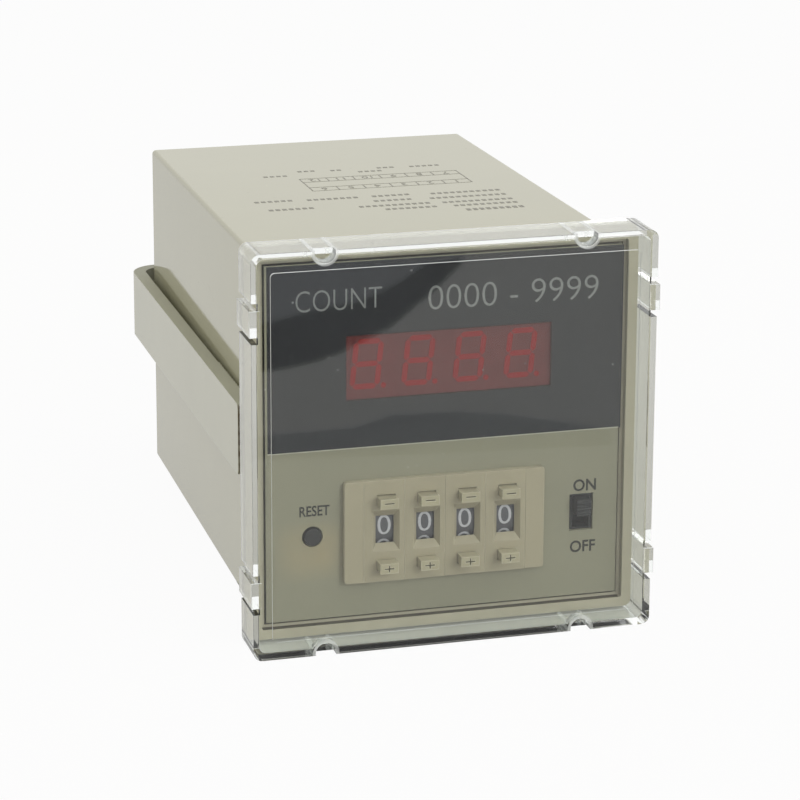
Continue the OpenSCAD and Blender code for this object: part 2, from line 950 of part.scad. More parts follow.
// one stroke of the mark cut into the button's front
module button_mark(w, h) {
  slab(-w / 2, w / 2, y_button - cut, y_button + mark_deep, -h / 2, h / 2);
}

// shallow hollow across the button's outer side
module button_dish() {
  translate([0, dish_y, button_h / 2 + dish_d / 2 - dish_deep])
    rod_x(dish_d, -button_w, button_w);
}

// finger at height z in the button that reaches past the drum to the ratchet's edge
module button_finger(z) {
  translate([0, 0, z]) {
    slab(button_w / 2 - finger_root, finger_x + finger_t, y_face + slide_gap, y_stem + finger_root,
      -finger_h / 2, finger_h / 2);
    slab(finger_x, finger_x + finger_t, y_face + slide_gap, y_stem + finger_len, -finger_h / 2, finger_h / 2);
  }
}

// shaft through the whole bank
module wheel_shaft() {
  color("#a8a8a6")
    translate([0, axis_y, bank_z])
      rod_x(shaft_d, bank_left + bank_lip, bank_right - bank_lip);
}

// two rods that hold the bank together
module tie_rods() {
  color("#a8a8a6")
    for (s = [-1, 1])
      translate([0, tie_y, bank_z + s * tie_dz])
        rod_x(tie_d, bank_left + bank_lip, bank_right - bank_lip);
}

// coding board beside each wheel, with its tail behind the housing
module coding_boards() {
  color("#6b5a2e")
    for (i = [0:3])
      translate([wheel_x(i), 0, 0])
        difference() {
          slab(coding_x, coding_x + coding_t, y_face + coding_front, housing_back + coding_tail,
            bank_z - cell_h / 2 + seat_gap, bank_z + cell_h / 2 - seat_gap);
          bank_holes(-wheel_pitch, wheel_pitch);
        }
}

// round button with a stop behind the face plate and a stem in the reset switch
module reset_button() {
  color("#3c3c3e")
    translate([reset_x, 0, reset_z]) {
      rod_y(reset_d, y_face - reset_proud, y_plate_back + reset_stop_t);
      rod_y(reset_stop_d, y_plate_back + slide_gap, y_plate_back + slide_gap + reset_stop_t);
      rod_y(reset_stem_d, y_plate_back + reset_stop_t, y_tact + tact_grip);
    }
}

// push switch on the display board
module reset_switch() {
  color("#26272a")
    translate([reset_x, 0, reset_z])
      difference() {
        slab(-tact_w / 2, tact_w / 2, y_tact, board_y, -tact_w / 2, tact_w / 2);
        rod_y(reset_stem_d + 2 * run_gap, y_tact - cut, y_tact + tact_grip + reset_travel + seat_gap);
      }
}

// body of the slide switch, with a raised part in the slot and the channel its slider runs in
module slide_switch() {
  color("#2f3034")
    translate([slide_x, 0, slide_z])
      difference() {
        union() {
          slab(-switch_w / 2, switch_w / 2, y_switch, board_y, -switch_h / 2, switch_h / 2);
          along_y(y_face + slot_drop, y_switch + cut)
            square([slot_w - 2 * seat_gap, slot_h - 2 * seat_gap], center = true);
        }
        along_y(y_face, y_slider + cut)
          square([knob_w + 2 * slide_gap, knob_h + knob_travel + 4 * slide_gap], center = true);
        along_y(y_slider, y_slider + slider_t + 2 * slide_gap)
          square([slider_w + 2 * slide_gap, slider_h + knob_travel + 4 * slide_gap], center = true);
      }
}

// ribbed knob and the slider behind it, drawn in the upper position
module slide_knob() {
  color("#1f2023")
    translate([slide_x, 0, knob_z])
      difference() {
        union() {
          slab(-knob_w / 2, knob_w / 2, y_face - knob_proud, y_slider + slider_t, -knob_h / 2, knob_h / 2);
          slab(-slider_w / 2, slider_w / 2, y_slider + slide_gap, y_slider + slide_gap + slider_t,
            -slider_h / 2, slider_h / 2);
        }
        for (k = [-2:2])
          translate([0, 0, k * 2 * knob_rib])
            slab(-knob_w, knob_w, y_face - knob_proud - cut, y_face - knob_proud + rib_deep,
              -knob_rib / 2, knob_rib / 2);
      }
}

// block that closes the back, with a compartment for each terminal
module terminal_block() {
  color("#33342f")
    difference() {
      along_y(block_y, case_d)
        rounded(cav_w - 2 * seat_gap, cav_w - 2 * seat_gap, cav_r);
      terminals() {
        along_y(pocket_y, case_d + cut)
          square([pocket_w, pocket_h], center = true);
        rod_y(term_screw_d + 2 * run_gap, pocket_y - term_screw_len - screw_tip_gap, pocket_y + cut);
        translate([0, 0, -tab_dz])
          along_y(block_y - cut, pocket_y + cut)
            square([tab_w + 2 * seat_gap, tab_t + 2 * seat_gap], center = true);
      }
      for (s = [-1, 1])
        translate([s * fix_x, 0, 0]) {
          rod_y(fix_d + 2 * run_gap, block_y - cut, case_d + cut);
          rod_y(fix_head_d + 2 * seat_gap, case_d - fix_sink, case_d + cut);
        }
    }
}

// contact plate on each compartment's floor, with a tab to the inside
module terminal_contacts() {
  color("#b59a4a")
    terminals()
      difference() {
        union() {
          along_y(pocket_y, pocket_y + contact_t)
            square([plate_w, plate_h], center = true);
          translate([0, 0, -tab_dz])
            along_y(block_y - tab_len, pocket_y + cut)
              square([tab_w, tab_t], center = true);
        }
        rod_y(term_screw_d + 2 * run_gap, pocket_y - cut, pocket_y + contact_t + cut);
      }
}

// square washer under each screw head
module terminal_washers() {
  color("#b8b8b4")
    terminals()
      difference() {
        along_y(pocket_y + contact_t, pocket_y + contact_t + washer_t)
          square(washer_w, center = true);
        rod_y(term_screw_d + 2 * run_gap, pocket_y, pocket_y + contact_t + washer_t + cut);
      }
}

// terminal screws with cross-cut heads
module terminal_screws() {
  color("#c4c4c0")
    terminals()
      difference() {
        union() {
          rod_y(term_screw_d, pocket_y - term_screw_len, head_y + cut);
          rod_y(head_d, head_y, head_y + head_t);
        }
        cross_recess(head_y + head_t, head_d, cross_deep);
      }
}

// screws that hold the terminal block in the case
module block_screws() {
  color("#9a9a98")
    for (s = [-1, 1])
      translate([s * fix_x, 0, 0])
        difference() {
          union() {
            rod_y(fix_d, block_y - fix_len + screw_tip_gap, case_d - fix_sink + cut);
            rod_y(fix_head_d, case_d - fix_sink, case_d - fix_sink + fix_head_t);
          }
          cross_recess(case_d - fix_sink + fix_head_t, fix_head_d, cross_deep);
        }
}

// upper board, held in the case's rails
module logic_board() {
  color("#3f6b3a")
    slab(-deck_w / 2, deck_w / 2, deck_y0, deck_y1, logic_z, logic_z + board_t);
}

// chips under the upper board
module logic_chips() {
  color("#1d1e20")
    for (x = chip_x, k = [0, 1])
      translate([x - chip_size[0] / 2, chip_y + k * chip_step - chip_size[1] / 2, logic_z - chip_size[2]])
        cube(chip_size);
}

// plug between the display board and the upper board
module board_header() {
  color("#26272a")
    slab(-header_w / 2, header_w / 2, board_y + board_t, deck_y0 + header_reach, logic_z - header_h, logic_z);
}

// row of stiff wires between the two boards
module board_links() {
  color("#b0a890")
    for (i = [0:link_n - 1])
      translate([(i - (link_n - 1) / 2) * link_pitch, link_y, power_top])
        cylinder(d = link_d, h = logic_z - power_top);
}

// lower board, held in the case's rails
module power_board() {
  color("#7a5a30")
    slab(-deck_w / 2, deck_w / 2, deck_y0, deck_y1, power_z, power_top);
}

// laminated core with two windows
module transformer_core() {
  color("#6f7072")
    translate([0, core_y, core_z])
      difference() {
        slab(-core_w / 2, core_w / 2, -core_t / 2, core_t / 2, -core_h / 2, core_h / 2);
        for (s = [-1, 1])
          translate([s * leg_w, 0, 0])
            slab(-leg_w / 2, leg_w / 2, -core_t, core_t, -core_h / 2 + yoke_w, core_h / 2 - yoke_w);
      }
}

// winding round the middle leg of the core
module transformer_coil() {
  color("#a05a2c")
    translate([0, core_y, core_z - coil_h / 2])
      linear_extrude(coil_h)
        difference() {
          rounded(coil_w, core_t + 2 * coil_out, coil_r);
          square([leg_w + 2 * seat_gap, core_t + 2 * seat_gap], center = true);
        }
}

// sealed relay on the lower board
module relay() {
  color("#2d4f86")
    translate([relay_x, relay_y, power_top])
      cube(relay_size);
}

// upright capacitors on the lower board
module capacitors() {
  color("#22345e") {
    translate([big_cap_x, big_cap_y, power_top])
      cylinder(d = big_cap[0], h = big_cap[1]);
    translate([small_cap_x, small_cap_y, power_top])
      cylinder(d = small_cap[0], h = small_cap[1]);
  }
}

case_shell();
front_frame();
face_overlay();
dark_window();
clear_cover();
mounting_clamp();
display_block();
display_digits();
display_board();
board_screws();
end_plate(bank_left, bank_left + end_w, -1);  // end_plate_left
end_plate(bank_right - end_w, bank_right, 1);  // end_plate_right
for (i = [0:3]) {
  wheel_housing(i);
  digit_wheel(i);
  push_button(i, minus_dz, 1, false);
  push_button(i, -plus_dz, -1, true);
}
wheel_shaft();
tie_rods();
coding_boards();
reset_button();
reset_switch();
slide_switch();
slide_knob();
terminal_block();
terminal_contacts();
terminal_washers();
terminal_screws();
block_screws();
logic_board();
logic_chips();
board_header();
board_links();
power_board();
transformer_core();
transformer_coil();
relay();
capacitors();
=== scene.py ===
"""Looks of a square preset counter for panel mounting: finishes, figures, print and studio.

Everything is built in metres in the part's own frame: X to the right, Y to the back, Z up, the
panel's face at Y = 0. Lengths in capitals are in millimetres, unless said otherwise.
"""
import json
import math

import bmesh
import bpy
from mathutils import Matrix, Vector


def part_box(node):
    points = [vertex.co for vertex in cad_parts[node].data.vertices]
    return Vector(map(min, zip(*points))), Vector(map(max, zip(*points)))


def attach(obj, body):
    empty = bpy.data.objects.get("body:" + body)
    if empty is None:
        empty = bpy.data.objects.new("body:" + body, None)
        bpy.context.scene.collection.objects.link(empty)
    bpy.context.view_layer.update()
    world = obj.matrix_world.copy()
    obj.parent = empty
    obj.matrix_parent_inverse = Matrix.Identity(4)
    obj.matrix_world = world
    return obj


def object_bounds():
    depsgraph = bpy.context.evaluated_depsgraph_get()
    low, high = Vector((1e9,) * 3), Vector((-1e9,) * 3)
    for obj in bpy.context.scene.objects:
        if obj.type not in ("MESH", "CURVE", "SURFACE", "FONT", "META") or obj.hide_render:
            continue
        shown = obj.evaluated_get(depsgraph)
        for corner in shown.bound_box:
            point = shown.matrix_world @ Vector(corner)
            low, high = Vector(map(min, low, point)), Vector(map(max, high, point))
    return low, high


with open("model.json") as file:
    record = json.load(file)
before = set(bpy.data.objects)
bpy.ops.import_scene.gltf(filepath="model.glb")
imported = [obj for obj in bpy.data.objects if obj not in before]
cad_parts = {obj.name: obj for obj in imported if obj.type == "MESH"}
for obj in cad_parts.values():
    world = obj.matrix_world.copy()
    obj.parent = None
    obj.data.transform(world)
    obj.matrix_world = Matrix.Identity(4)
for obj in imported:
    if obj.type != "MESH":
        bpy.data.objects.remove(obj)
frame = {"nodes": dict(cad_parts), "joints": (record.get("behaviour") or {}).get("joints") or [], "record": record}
cad_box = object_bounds()
nodes = frame["nodes"]
scene = bpy.context.scene

MM = 0.001
WHEELS = range(1, 5)

# Camera, fitted to the corners of the case and the cover: its place, its right and up directions,
# and its focal length and centre in pixels of the 800 pixel frame
FRAME_PX = 800
SENSOR = 36
EYE = (-150.97, -507.76, 165.21)
VIEW_RIGHT = (0.96572, -0.25958, 0.00115)
VIEW_UP = (0.06348, 0.24044, 0.96859)
FOCAL_PX = 3057.3
CENTRE_PX = (363.48, 272.08)

# Colours as they look in plain light, in sRGB steps: outside
CASE_RGB = (188, 185, 157)
CLAMP_RGB = (199, 198, 176)
FRAME_RGB = (172, 166, 145)
FACE_RGB = (140, 137, 117)
# the film's edge below the dark window, with a painted highlight
FILM_EDGE_HIGHLIGHT_RGB = (176, 174, 158)
DARK_RGB = (36, 37, 41)
LENS_RGB = (84, 30, 31)
LED_RGB = (136, 76, 75)
SEGMENT_RGB = (190, 34, 36)
COVER_RGB = (250, 252, 250)
COVER_SHADE_RGB = (240, 243, 241)
BANK_RGB = (166, 157, 133)
BUTTON_RGB = (174, 166, 139)
WHEEL_RGB = (84, 84, 90)
RESET_RGB = (32, 32, 34)
BLACK_RGB = (34, 35, 37)
# print
FIGURE_RGB = (192, 192, 197)
PRINT_RGB = (30, 29, 26)
PRINT_PALE_RGB = (128, 130, 128)
PRINT_TOP_RGB = (140, 137, 125)
# dirt, stains and dust, and painted shade and painted highlights
MARK_RGB = (92, 85, 66)
# painted shade: the dark lines in the frame's recess corners
PAINTED_SHADE_RGB = (62, 57, 40)
# painted shade on the clamp's front end
END_SHADE_RGB = (100, 88, 68)
STAIN_RGB = (164, 150, 118)
FACE_DUST_RGB = (190, 188, 176)
WINDOW_DUST_RGB = (186, 188, 188)
# painted highlight on the rounded edges of the switch bank and the buttons
EDGE_HIGHLIGHT_RGB = (236, 230, 208)
# inside
RELAY_RGB = (62, 96, 158)
SLEEVE_RGB = (40, 58, 104)
TAPE_RGB = (176, 128, 62)
GREEN_RGB = (58, 104, 62)
BROWN_RGB = (142, 108, 66)
STEEL_RGB = (196, 196, 192)
BRASS_RGB = (205, 178, 104)
CORE_RGB = (128, 128, 130)

# The case: half its width at the panel, its depth, and how far each side leans in to the back
CASE_HALF = 33.8
CASE_DEPTH = 98.0
CASE_DRAFT = 0.8

# The front: half the recess in the frame, the plane of its rim and of the cover's border
RECESS_HALF = 34.15
RIM_Y = -3.4
BORDER_Y = -10.6

# Noise: the middle part that is spread over a whole range; the depth of bumps in films and metal,
# of the grain in mouldings, of the waves in the cover and of the core's sheets
CLOUD = (0.3, 0.7)
BUMP_DEEP = 0.1
GRAIN_DEEP = 0.12
WAVE_DEEP = 0.4
SHEET_DEEP = 0.2


def linear(rgb, gain=1.0):
    """sRGB steps as a linear colour with alpha."""
    unit = [c / 255 for c in rgb]
    plain = [c / 12.92 if c <= 0.04045 else ((c + 0.055) / 1.055) ** 2.4 for c in unit]
    return [gain * c for c in plain] + [1.0]


class Shader:
    """One procedural material: a Principled shader and the nodes that feed it."""

    def __init__(self, name):
        self.material = bpy.data.materials.new(name)
        self.material.use_nodes = True
        self.tree = self.material.node_tree
        self.bsdf = self.tree.nodes["Principled BSDF"]
        self.output = self.tree.nodes["Material Output"]
        self.place = self.node("ShaderNodeTexCoord").outputs["Object"]
        self.facing = self.node("ShaderNodeNewGeometry").outputs["True Normal"]

    def feed(self, socket, value):
        """Links a socket to another, or sets its constant."""
        if isinstance(value, bpy.types.NodeSocket):
            self.tree.links.new(value, socket)
        else:
            socket.default_value = value

    def node(self, kind, inputs=None, **settings):
        made = self.tree.nodes.new(kind)
        for key, value in settings.items():
            setattr(made, key, value)
        for key, value in (inputs or {}).items():
            self.feed(made.inputs[key], value)
        return made

    def surface(self, **values):
        """Sets sockets of the Principled shader; underscores stand for spaces."""
        for key, value in values.items():
            self.feed(self.bsdf.inputs[key.replace("_", " ")], value)

    def stretched(self, scale, turn=(0, 0, 0)):
        """The object's own coordinates, turned and scaled per axis."""
        inputs = {"Vector": self.place, "Rotation": turn, "Scale": scale}
        return self.node("ShaderNodeMapping", inputs).outputs["Vector"]

    def noise(self, scale, detail=3.0, rough=0.55, vector=None):
        made = self.node("ShaderNodeTexNoise", {
            "Vector": vector or self.place, "Scale": scale, "Detail": detail, "Roughness": rough})
        return made.outputs["Fac"]

    def cloud(self, scale, detail=3.0, low=0.0, high=1.0):
        """Soft noise spread between two values."""
        return self.fit(self.noise(scale, detail), *CLOUD, low, high)

    def spots(self, scale, radius, soft):
        """1 inside scattered round spots, 0 elsewhere."""
        cells = self.node("ShaderNodeTexVoronoi", {"Vector": self.place, "Scale": scale})
        return self.fit(cells.outputs["Distance"], radius, radius - soft)

    def fit(self, value, low, high, to_low=0.0, to_high=1.0):
        """Value between low and high brought to another range, and held at its ends."""
        made = self.node("ShaderNodeMapRange", {
            "Value": value, "From Min": low, "From Max": high,
            "To Min": to_low, "To Max": to_high})
        return made.outputs["Result"]

    def math(self, operation, a, b=0.0):
        return self.node("ShaderNodeMath", {0: a, 1: b}, operation=operation).outputs["Value"]

    def times(self, product, *others):
        """The product of several values."""
        for other in others:
            product = self.math("MULTIPLY", product, other)
        return product

    def absolute(self, value):
        return self.math("ABSOLUTE", value)

    def away(self, value, middle):
        """How far a value is from a middle."""
        return self.absolute(self.math("SUBTRACT", value, middle))

    def mix(self, factor, a, b):
        return self.node("ShaderNodeMix", {0: factor, 6: a, 7: b}, data_type="RGBA").outputs[2]

    def shaded(self, factor, rgb, low, high):
        """A colour that goes from one shade of itself to another."""
        return self.mix(factor, linear(rgb, low), linear(rgb, high))

    def bump(self, height, strength, deep=BUMP_DEEP):
        made = self.node("ShaderNodeBump", {
            "Height": height, "Strength": strength, "Distance": deep * MM})
        return made.outputs["Normal"]

    def axis(self, index):
        """One of the object's own coordinates."""
        return self.node("ShaderNodeSeparateXYZ", {0: self.place}).outputs[index]

    def looks(self, index):
        """How much a face looks along one axis."""
        return self.node("ShaderNodeSeparateXYZ", {0: self.facing}).outputs[index]

    def inside(self, index, low, high, soft):
        """1 between two coordinates, falling to 0 over a soft edge."""
        along = self.axis(index)
        rising = self.fit(along, low - soft, low + soft)
        falling = self.fit(along, high + soft, high - soft)
        return self.times(rising, falling)


# Moulded plastic: how strong and dark its specks are, and how much its roughness varies
SPECK_STRENGTH = 0.35
SPECK_SHADE = 0.55
ROUGH_SPREAD = 0.15
# scratches on the case, from and to in Y and Z; half their width, the length of their faded ends,
# how strong and dark they are, and where in X the left side begins
SCRATCHES = [((42.5, 18.6), (39.7, 17.5)), ((38.9, 17.4), (37.1, 16.3))]
SCRATCH_HALF = 0.09
SCRATCH_FADE = 1.0
SCRATCH_STRENGTH = 0.5
SCRATCH_SHADE = 0.5
LEFT_SIDE = (-32.5, -33.0)
# painted shade lines in the frame, dark where shade falls in the recess corners: half the square, half
# the line, and its strength on the right; how far behind the rim they begin, and how far inside the
# square's right side the light does
SHADE_LINES = [(RECESS_HALF, 0.13, 0.25), (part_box("face_overlay")[1].x / MM + 0.12, 0.26, 0.5)]
SHADE_BEHIND = (0.03, 0.1)
SHADE_LIT = (0.5, 0.4)
# shaded tops, painted shade on faces that look up or down: how much a face must look up or down,
# the two shades it is painted between, and its roughness
TOP_FACING = (0.5, 0.9)
TOP_SHADE_GAINS = (0.8, 0.9)
TOP_ROUGH = 0.62
# shaded ends, painted shade on a front end's face: how much a face must look to the front, how far
# the painted shade reaches, and its strength
END_FACING = (-0.45, -0.8)
END_REACH = (2.0, 1.5)
END_SHADE_STRENGTH = (0.45, 1.0)
# painted highlights on rounded corners: their reach, and how much the face turns there
HIGHLIGHT_REACH = 0.22
HIGHLIGHT_TURN = (0.99, 0.9)


def scratch(s, start, end):
    """1 along a fine straight scratch on the left side, between two places in Y and Z."""
    a, b = Vector(start) * MM, Vector(end) * MM
    run = (b - a).normalized()
    across = Vector((-run.y, run.x))
    y, z = s.axis(1), s.axis(2)

    def along(direction):
        return s.math("ADD", s.times(y, direction.x), s.times(z, direction.y))

    near = s.fit(s.away(along(across), a.dot(across)), SCRATCH_HALF * MM, 0.0)
    length = along(run)
    begun = s.fit(length, a.dot(run), a.dot(run) + SCRATCH_FADE * MM)
    going = s.fit(length, b.dot(run), b.dot(run) - SCRATCH_FADE * MM)
    left = s.fit(s.axis(0), *[x * MM for x in LEFT_SIDE])
    return s.times(near, begun, going, left)


def moulded(name, rgb, rough=0.38, grain=0.06, shade=0.05, marks=(), shade_lines=(),
            shaded_tops=False, shaded_end=None, edge_highlight=0.0):
    """Moulded plastic: a faint cloud in its colour, fine grain and a few specks.

    Marks are scratches on the left side. Shade lines are painted shade: dark squares round the
    front's middle, behind the rim, weaker on the right where light reaches them. With shaded tops
    the faces that look up or down are rough, and painted darker than the sides as shade. A shaded
    end is the Y of a front end whose face gets painted shade. Edge highlight says how much paler
    the rounded corners are painted, as a painted highlight.
    """
    s = Shader(name)
    cloud = s.cloud(48, 5.0)
    colour = s.shaded(cloud, rgb, 1.0 - shade, 1.0 + shade)
    specks = s.times(s.spots(420, 0.11, 0.05), s.fit(s.noise(130), 0.55, 0.62))
    colour = s.mix(s.times(specks, SPECK_STRENGTH), colour, linear(rgb, SPECK_SHADE))
    rough_now = s.cloud(90, 4.0, (1.0 - ROUGH_SPREAD) * rough, (1.0 + ROUGH_SPREAD) * rough)
    for start, end in marks:
        strength = s.times(scratch(s, start, end), SCRATCH_STRENGTH)
        colour = s.mix(strength, colour, linear(rgb, SCRATCH_SHADE))
    # painted shade: dark lines where shade falls in the frame's recess corners, weaker on the right where light
    # reaches them
    for half, width, right in shade_lines:
        ring = s.math("MAXIMUM", s.absolute(s.axis(0)), s.absolute(s.axis(2)))
        near = s.fit(s.away(ring, half * MM), width * MM, 0.5 * width * MM)
        behind = s.fit(s.axis(1), *[(RIM_Y + deep) * MM for deep in SHADE_BEHIND])
        lit = s.fit(s.axis(0), *[(half - reach) * MM for reach in SHADE_LIT], 1.0, right)
        colour = s.mix(s.times(near, behind, lit), colour, linear(PAINTED_SHADE_RGB))
    # painted shade: faces that look up or down are painted darker than the sides; they are also rougher
    if shaded_tops:
        up_or_down = s.fit(s.absolute(s.looks(2)), *TOP_FACING)
        colour = s.mix(up_or_down, colour, s.shaded(cloud, rgb, *TOP_SHADE_GAINS))
        rough_now = s.fit(up_or_down, 0.0, 1.0, rough, TOP_ROUGH)
    # painted shade: the front end's face painted patchy and brownish dark
    if shaded_end is not None:
        fronts = s.fit(s.looks(1), *END_FACING)
        near_end = s.fit(s.axis(1), *[shaded_end + reach * MM for reach in END_REACH])
        patchy_shade = s.fit(s.noise(700, 4.0), 0.3, 0.6, *END_SHADE_STRENGTH)
        colour = s.mix(s.times(fronts, near_end, patchy_shade), colour, linear(END_SHADE_RGB))
    # painted highlight: paler colour where the edges are rounded
    if edge_highlight:
        rounded = s.node("ShaderNodeBevel", {"Radius": HIGHLIGHT_REACH * MM}, samples=6)
        turned = s.node("ShaderNodeVectorMath", {0: rounded.outputs["Normal"], 1: s.facing},
                        operation="DOT_PRODUCT")
        corner = s.fit(turned.outputs["Value"], *HIGHLIGHT_TURN)
        colour = s.mix(s.times(corner, edge_highlight), colour, linear(EDGE_HIGHLIGHT_RGB))
    s.surface(Base_Color=colour, Roughness=rough_now,
              Normal=s.bump(s.noise(3800, 2.0), grain, GRAIN_DEEP))
    return s.material


# Light film: its stain in X and Z, with the stain's soft edge and strength, and the dust's strength
STAIN_X = (-30.0, -20.0)
STAIN_Z = (-24.3, -16.0)
STAIN_SOFT = 2.0
STAIN_STRENGTH = (0.35, 0.8)
FACE_DUST = 0.5


def face_film():
    """Light printed film: fine matt grain, a warm stain round the reset button and some dust."""
    s = Shader("face_film")
    colour = s.shaded(s.cloud(35, 4.0), FACE_RGB, 0.96, 1.04)
    wide = s.inside(0, *[x * MM for x in STAIN_X], STAIN_SOFT * MM)
    tall = s.inside(2, *[z * MM for z in STAIN_Z], STAIN_SOFT * MM)
    patchy = s.fit(s.noise(160, 4.0), 0.25, 0.75, *STAIN_STRENGTH)
    colour = s.mix(s.times(wide, tall, patchy), colour, linear(STAIN_RGB))
    dust = s.times(s.spots(300, 0.07, 0.03), s.fit(s.noise(75), 0.5, 0.6))
    colour = s.mix(s.times(dust, FACE_DUST), colour, linear(FACE_DUST_RGB))
    s.surface(Base_Color=colour, Roughness=s.cloud(900, low=0.42, high=0.55),
              Normal=s.bump(s.noise(5200, 2.0), 0.08))
    return s.material


# Dark film: the soft edge of its clear part, how clear that is, and the dust's strength
LENS_SOFT = 0.15
LENS_CLEAR = 0.8
WINDOW_DUST = 0.4


def dark_film():
    """Smoked film: dark and opaque, but clear enough over the display to show it; some dust."""
    s = Shader("dark_film")
    low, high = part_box("display_block")
    soft = LENS_SOFT * MM
    clear = s.times(s.inside(0, low.x, high.x, soft), s.inside(2, low.z, high.z, soft))
    colour = s.shaded(s.cloud(40, 4.0), DARK_RGB, 0.85, 1.15)
    colour = s.mix(clear, colour, linear(LENS_RGB))
    dust = s.times(s.spots(260, 0.07, 0.03), s.fit(s.noise(60), 0.44, 0.54))
    colour = s.mix(s.times(dust, WINDOW_DUST), colour, linear(WINDOW_DUST_RGB))
    seen = s.math("SUBTRACT", 1.0, s.times(clear, LENS_CLEAR))
    s.surface(Base_Color=colour, Alpha=s.math("MAXIMUM", seen, dust),
              Roughness=s.cloud(300, low=0.32, high=0.42), Normal=s.bump(s.noise(2600), 0.01))
    return s.material


# Clear cover: how far from the border's plane its step begins, and how much a face must look aside
STEP_SOFT = 0.05
STEP_FACING = (0.95, 0.6)
# notches: their place from the middle in X and Z, inner and outer radius, soft edge and frost
NOTCH_AT = (24.0, 36.95)
NOTCH_R = (1.75, 2.4)
NOTCH_SOFT = 0.1
NOTCH_FROST = 0.35
# hairlines: scale and turn of the drawn noise, a line's width in it, and where a second noise
# lets lines show
HAIR_SCALE = (420, 60, 160)
HAIR_TURN = (0.2, 0.5, 0.3)
HAIR_WIDTH = 0.004
HAIR_PATCH = (0.56, 0.62)
# roughness of the haze and of frost and hairlines, and the refraction
HAZE_ROUGH = (0.015, 0.04)
FROST_ROUGH = 0.2
COVER_IOR = 1.49


def hairlines(s):
    """1 along sparse fine lines: the thin zone round the middle of a long drawn noise."""
    drawn = s.noise(1.0, 2.0, 0.5, s.stretched(HAIR_SCALE, HAIR_TURN))
    line = s.fit(s.away(drawn, 0.5), HAIR_WIDTH, 0.0)
    return s.times(line, s.fit(s.noise(55, 2.0), *HAIR_PATCH))


def clear_plastic():
    """Clear moulded cover that light passes: faint haze, hairlines, frosted step and notches."""
    s = Shader("clear_plastic")
    haze = s.fit(s.noise(38, 4.0), 0.35, 0.75, *HAZE_ROUGH)
    raised = s.fit(s.axis(1), BORDER_Y * MM, (BORDER_Y - STEP_SOFT) * MM)
    step = s.times(raised, s.fit(s.absolute(s.looks(1)), *STEP_FACING))
    aside = [s.away(s.absolute(s.axis(k)), at * MM) for k, at in zip((0, 2), NOTCH_AT)]
    reach = s.math("SQRT", s.math("ADD", *[s.times(a, a) for a in aside]))
    inner, outer = [r * MM for r in NOTCH_R]
    soft = NOTCH_SOFT * MM
    notch = s.times(s.fit(reach, outer + soft, outer), s.fit(reach, inner - soft, inner))
    frost = s.math("MAXIMUM", step, s.times(notch, NOTCH_FROST))
    marked = s.math("MAXIMUM", hairlines(s), frost)
    s.surface(Base_Color=linear(COVER_RGB), IOR=COVER_IOR,
              Transmission_Weight=s.math("SUBTRACT", 1.0, frost),
              Roughness=s.math("ADD", haze, s.times(marked, FROST_ROUGH)),
              Normal=s.bump(s.noise(45, 2.0), 0.015, WAVE_DEEP))
    shadow = s.node("ShaderNodeLightPath").outputs["Is Shadow Ray"]
    passing = s.node("ShaderNodeBsdfTransparent", {"Color": linear(COVER_SHADE_RGB)})
    both = s.node("ShaderNodeMixShader", {
        0: shadow, 1: s.bsdf.outputs[0], 2: passing.outputs[0]})
    s.feed(s.output.inputs["Surface"], both.outputs[0])
    return s.material


def ink(name, rgb):
    """Print: a thin, slightly uneven coat of ink."""
    s = Shader(name)
    thin = s.fit(s.noise(2200, 4.0), 0.35, 0.7)
    s.surface(Base_Color=s.shaded(thin, rgb, 0.9, 1.12), Roughness=0.5,
              Normal=s.bump(s.noise(4200), 0.05))
    return s.material


def tinted(name, rgb, rough):
    """Cast resin of the display: coloured through, with a faint cloud."""
    s = Shader(name)
    s.surface(Base_Color=s.shaded(s.cloud(420), rgb, 0.92, 1.08), Roughness=rough,
              Normal=s.bump(s.noise(1800), 0.04))
    return s.material


def metal(name, rgb, rough):
    """Plated or rolled metal with fine drawn lines."""
    s = Shader(name)
    drawn = s.noise(1.0, 4.0, 0.6, s.stretched((900, 60, 900)))
    s.surface(Base_Color=s.shaded(s.fit(drawn, *CLOUD), rgb, 0.85, 1.08), Metallic=1.0,
              Roughness=s.fit(drawn, 0.25, 0.75, rough - 0.08, rough + 0.1),
              Normal=s.bump(drawn, 0.06))
    return s.material


def circuit_board(name, rgb):
    """Lacquered board with faint copper tracks under the lacquer."""
    s = Shader(name)
    tracks = s.node("ShaderNodeTexBrick", {
        "Vector": s.place, "Scale": 180.0, "Mortar Size": 0.06,
        "Color1": linear(rgb), "Color2": linear(rgb, 1.1), "Mortar": linear(rgb, 1.6)}).outputs
    colour = s.mix(s.fit(s.noise(160, 4.0), 0.4, 0.6), tracks["Color"], linear(rgb))
    s.surface(Base_Color=colour, Roughness=s.cloud(700, low=0.28, high=0.4),
              Normal=s.bump(tracks["Fac"], 0.05))
    return s.material


def laminations(name, rgb):
    """Stacked core sheets: fine dark lines between the sheets."""
    s = Shader(name)
    sheets = s.node("ShaderNodeTexWave", {"Vector": s.place, "Scale": 320.0, "Distortion": 0.4},
                    bands_direction="Y").outputs["Fac"]
    s.surface(Base_Color=s.shaded(sheets, rgb, 0.6, 1.1), Metallic=0.8,
              Roughness=s.cloud(260, low=0.4, high=0.55),
              Normal=s.bump(sheets, 0.2, SHEET_DEEP))
    return s.material


